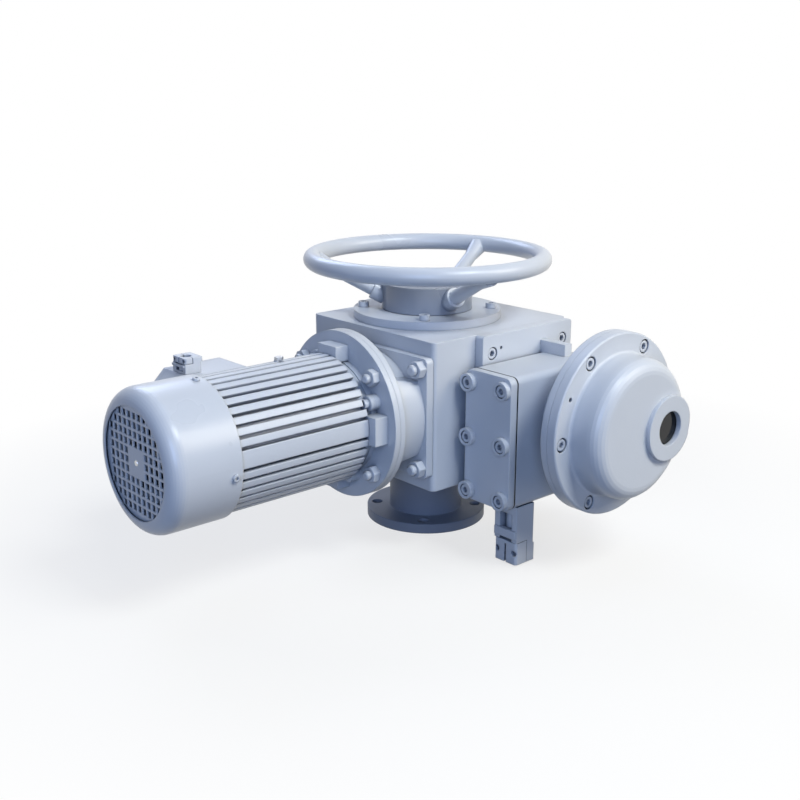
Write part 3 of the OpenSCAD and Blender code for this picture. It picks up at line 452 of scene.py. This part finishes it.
def thread_ridge(verts, faces, low, high, pitch, seen):
    """Adds a helical ridge round the last stretch of a stud that lies along Y and ends in view at its low Y end."""
    radius = (high[0] - low[0]) / 2
    x, z = (low[0] + high[0]) / 2, (low[2] + high[2]) / 2
    steps = int(seen / pitch) * STEPS_PER_TURN
    first = len(verts)
    for i in range(steps + 1):
        angle = 2 * math.pi * i / STEPS_PER_TURN
        y = low[1] + FIRST_RIDGE * pitch + pitch * i / STEPS_PER_TURN
        rise = min(1.0, i / RUN_OUT_STEPS, (steps - i) / RUN_OUT_STEPS)
        for along, lift in ((-HALF_WIDTH, -SUNK), (0.0, DEPTH * rise), (HALF_WIDTH, -SUNK)):
            r = radius + lift * pitch
            verts.append((x + r * math.cos(angle), y + along * pitch, z + r * math.sin(angle)))
    for i in range(steps):
        for a in (first + 3 * i, first + 3 * i + 1):
            faces.append((a, a + 1, a + 4, a + 3))


def stud_threads(name, ends, nuts):
    """One mesh with the thread of every stud of a node, as far as its nut leaves the stud in view."""
    verts, faces = [], []
    nut_face = min(low[1] for low, high in islands(nuts))
    for low, high in ends:
        thread_ridge(verts, faces, low, high, PITCH_MM[name] * MM, nut_face - low[1])
    return add_piece(name + "_thread", verts, faces, sheet_paint)


flange_thread = stud_threads("flange_studs", flange_ends, "flange_nuts")
pad_thread = stud_threads("adapter_studs", pad_ends, "adapter_nuts")

# %% [markdown]
# ## Rivet in the grille
# The pressed grille has a small rivet in its plain middle, where the press held the blank. It is a shallow dome. A
# sphere could be squashed to that shape, but turning its profile keeps the thin edge that the paint rounds off.

# %% Grille rivet
RIVET_R_MM = 3.2
RIVET_H_MM = 1.3
RIVET_RINGS = 6
RIVET_SIDES = 28


def dome(x, y, z, radius, height):
    """The vertices and faces of a shallow dome whose top points to low Y."""
    verts, faces = [], []
    for ring in range(RIVET_RINGS):
        lift = ring / RIVET_RINGS * math.pi / 2
        r = radius * math.cos(lift)
        for side in range(RIVET_SIDES):
            turn = 2 * math.pi * side / RIVET_SIDES
            verts.append((x + r * math.cos(turn), y - height * math.sin(lift), z + r * math.sin(turn)))
    verts.append((x, y - height, z))
    for ring in range(RIVET_RINGS):
        for side in range(RIVET_SIDES):
            a, b = ring * RIVET_SIDES + side, ring * RIVET_SIDES + (side + 1) % RIVET_SIDES
            if ring < RIVET_RINGS - 1:
                faces.append((a, b, b + RIVET_SIDES, a + RIVET_SIDES))
            else:
                faces.append((a, b, len(verts) - 1))
    return verts, faces


grille_low, grille_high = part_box("fan_grille")
grille_x, grille_z = (grille_low.x + grille_high.x) / 2, (grille_low.z + grille_high.z) / 2
rivet_verts, rivet_faces = dome(grille_x, grille_low.y, grille_z, RIVET_R_MM * MM, RIVET_H_MM * MM)
rivet = add_piece("grille_rivet", rivet_verts, rivet_faces, zinc_steel)

# %% [markdown]
# ## A white room to look at
# The photo is a cut-out on pure white. White surroundings that shine on the machine would bleach its paint. So the
# floor and the world are white only where the camera, the glass or a gloss looks at them, and they give little light
# to everything else. The light path node tells the two apart.

# %% What looks straight at the room
def looked_at(tree):
    """A socket that is 1 where the camera, the glass or a gloss looks, and 0 for light that spreads."""
    ray = add_node(tree, "LightPath")
    direct = add_node(tree, "Math", links=[(0, ray.outputs["Is Camera Ray"]), (1, ray.outputs["Is Transmission Ray"])],
                      operation="MAXIMUM")
    seen = add_node(tree, "Math", links=[(0, direct.outputs[0]), (1, ray.outputs["Is Glossy Ray"])],
                    operation="MAXIMUM")
    return seen.outputs[0]


print("the room is white for the camera, glass and gloss")

# %% [markdown]
# ## Floor
# A pale floor carries a soft shadow near the machine, and further out it glows white. A white floor alone would need
# so much light that the paint turned white too.

# %% Floor
FLOOR_HALF = 6.0
FLOOR_GAP_MM = 0.3
FLOOR_PALE = "F6F2EA"
FLOOR_BOUNCE = "4A5058"
SHADOW_INNER = 0.4
SHADOW_OUTER = 0.75
SHADOW_LIFT = 0.72


def white_floor():
    """A pale floor that keeps shadows near the machine and turns to pure white further out."""
    material, tree, output = new_material("pale_studio_floor")
    geometry = add_node(tree, "NewGeometry")
    distance = add_node(tree, "VectorMath", links=[(0, geometry.outputs["Position"])], operation="LENGTH")
    fade = add_node(tree, "MapRange",
                    {"From Min": SHADOW_INNER, "From Max": SHADOW_OUTER, "To Min": SHADOW_LIFT},
                    [("Value", distance.outputs["Value"])])
    seen = looked_at(tree)
    share = add_node(tree, "Math", links=[(0, fade.outputs["Result"]), (1, seen)], operation="MULTIPLY")
    tone = add_node(tree, "MixRGB", {"Color1": linear(FLOOR_BOUNCE), "Color2": linear(FLOOR_PALE)}, [("Fac", seen)])
    plain = add_node(tree, "BsdfDiffuse", links=[("Color", tone.outputs["Color"])])
    glow = add_node(tree, "Emission", {"Strength": 1.0})
    mixed = add_node(tree, "MixShader", links=[("Fac", share.outputs[0]), (1, plain.outputs["BSDF"]),
                                               (2, glow.outputs["Emission"])])
    tree.links.new(mixed.outputs["Shader"], output.inputs["Surface"])
    return material


floor_mesh = bpy.data.meshes.new("studio_floor")
corners = [(x * FLOOR_HALF, y * FLOOR_HALF, -FLOOR_GAP_MM * MM) for x, y in ((-1, -1), (1, -1), (1, 1), (-1, 1))]
floor_mesh.from_pydata(corners, [], [(0, 1, 2, 3)])
floor_mesh.materials.append(white_floor())
floor = bpy.data.objects.new("studio_floor", floor_mesh)
bpy.context.scene.collection.objects.link(floor)
print("floor:", 2 * FLOOR_HALF, "m across")

# %% [markdown]
# ## Light
# In the photo the sides that face right and up are brightest, and the sides that face the camera are dimmer and
# bluer. Five soft boxes give that: a key light, a warmer one at the right, a blue fill near the camera, and two
# behind and above for the rims. One big lamp would be simpler, but then the side of the dome would be as bright as
# its face.

# %% Lamps
TARGET = Vector((0.06, -0.1, 0.17))
LAMPS = [
    # name, place, size in metres, watts, colour
    ("key_box", (1.7, 0.0, 2.1), 0.7, 36.0, "F3FBFF"),
    ("right_box", (1.9, 1.2, 1.5), 1.2, 31.0, "FFF8E7"),
    ("blue_fill", (1.7, -1.9, 0.9), 1.2, 29.0, "ACCAFF"),
    ("back_box", (-1.9, 0.3, 1.8), 1.2, 26.0, "D1DFFF"),
    ("top_box", (0.05, 0.0, 2.6), 1.2, 6.0, "A8CCFF"),
]


def soft_box(name, place, size, watts, colour):
    """A square area lamp that points at the machine."""
    data = bpy.data.lights.new(name, "AREA")
    data.size = size
    data.energy = watts
    data.color = linear(colour)[:3]
    lamp = bpy.data.objects.new(name, data)
    bpy.context.scene.collection.objects.link(lamp)
    lamp.location = place
    lamp.rotation_euler = (TARGET - Vector(place)).to_track_quat("-Z", "Y").to_euler()
    return lamp


for lamp_values in LAMPS:
    soft_box(*lamp_values)

# %% [markdown]
# ## World
# Around the machine is a white room to look at, and only a little dim blue light comes from it. The colours are shown
# as they are, with the standard view.

# %% World
WORLD_BLUE = "7DAAFF"
WORLD_STRENGTH = 0.04

world = bpy.data.worlds.new("studio")
bpy.context.scene.world = world
world.use_nodes = True
sky = world.node_tree
sky.nodes.clear()
dim = add_node(sky, "Background", {"Color": linear(WORLD_BLUE), "Strength": WORLD_STRENGTH})
white = add_node(sky, "Background", {"Color": linear("FFFFFF"), "Strength": 1.0})
sky_mix = add_node(sky, "MixShader", links=[("Fac", looked_at(sky)), (1, dim.outputs["Background"]),
                                            (2, white.outputs["Background"])])
add_node(sky, "OutputWorld", links=[("Surface", sky_mix.outputs["Shader"])])
bpy.context.scene.view_settings.view_transform = "Standard"
print("world:", world.name, "view:", bpy.context.scene.view_settings.view_transform)
